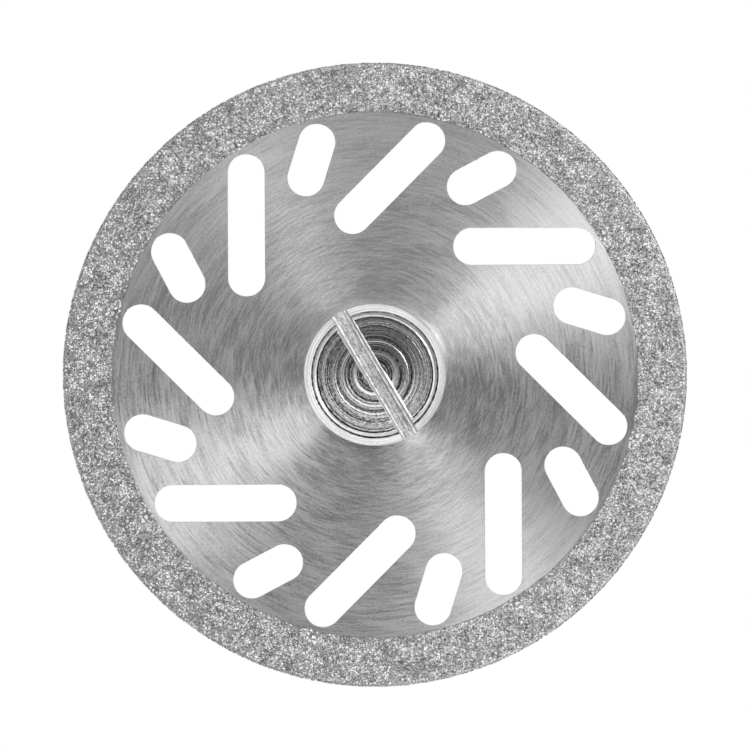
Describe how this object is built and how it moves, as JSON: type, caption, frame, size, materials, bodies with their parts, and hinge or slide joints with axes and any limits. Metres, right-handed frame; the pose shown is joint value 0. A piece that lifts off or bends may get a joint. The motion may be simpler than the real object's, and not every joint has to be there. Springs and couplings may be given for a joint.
{
  "type": "double-sided diamond disc",
  "caption": "Thin slotted steel cutting disc with a diamond grit rim on both faces, clamped by a flat slotted screw to a straight handpiece shank.",
  "frame": {"origin": "middle of the screw head's face, in the plane of the flat ring on which the tool stands", "axes": "+Z along the tool's axis from the screw head to the end of the shank; +Y is up in the picture, which looks along +Z at the screw head"},
  "size_m": [0.022, 0.022, 0.0445],
  "materials": {
    "blade_steel": "circular brushed",
    "diamond_grit": "rough plated grit",
    "screw_steel": "lathe turned",
    "mandrel_steel": "ground and polished"
  },
  "bodies": {
    "root": {"blade": "blade_steel", "diamond_rim": "diamond_grit", "clamp_screw": "screw_steel", "mandrel": "mandrel_steel"}
  },
  "joints": []
}
